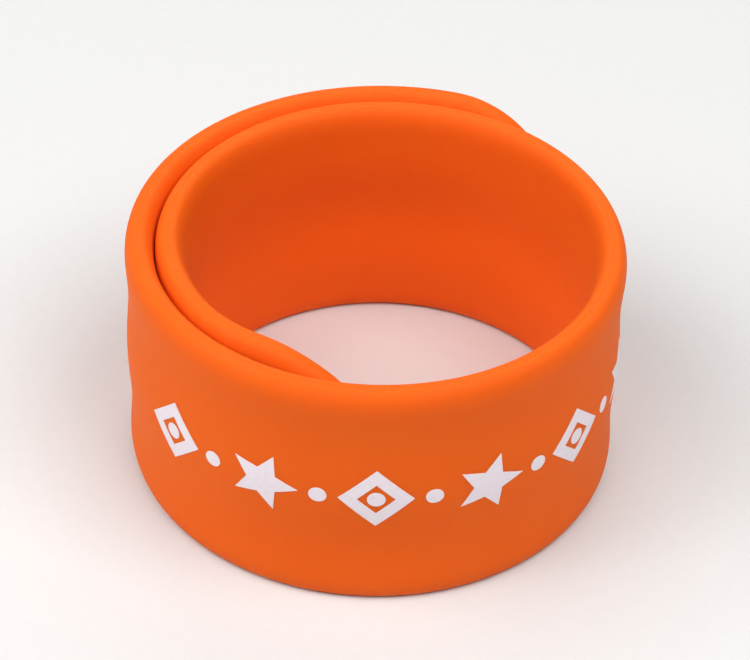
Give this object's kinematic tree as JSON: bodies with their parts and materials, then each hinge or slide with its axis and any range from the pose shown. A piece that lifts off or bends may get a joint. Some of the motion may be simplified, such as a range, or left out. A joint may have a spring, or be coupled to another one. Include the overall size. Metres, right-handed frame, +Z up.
{
  "type": "slap bracelet",
  "caption": "Slap bracelet: a soft silicone band with round ends over a curled spring steel strip, coiled into an open ring that stands on one rim.",
  "frame": {"origin": "under the middle of the coil's box, on the surface that the coil stands on", "axes": "+Z up along the coil's axis, +X to the right and +Y to the back of the view that shows the plain front of the band"},
  "size_m": [0.0476, 0.0496, 0.025],
  "materials": {
    "silicone": "orange moulded silicone, matte with a soft sheen",
    "spring_steel": "plain rolled spring steel"
  },
  "bodies": {
    "root": {"silicone_sleeve": "silicone", "spring_blade": "spring_steel"}
  },
  "joints": []
}
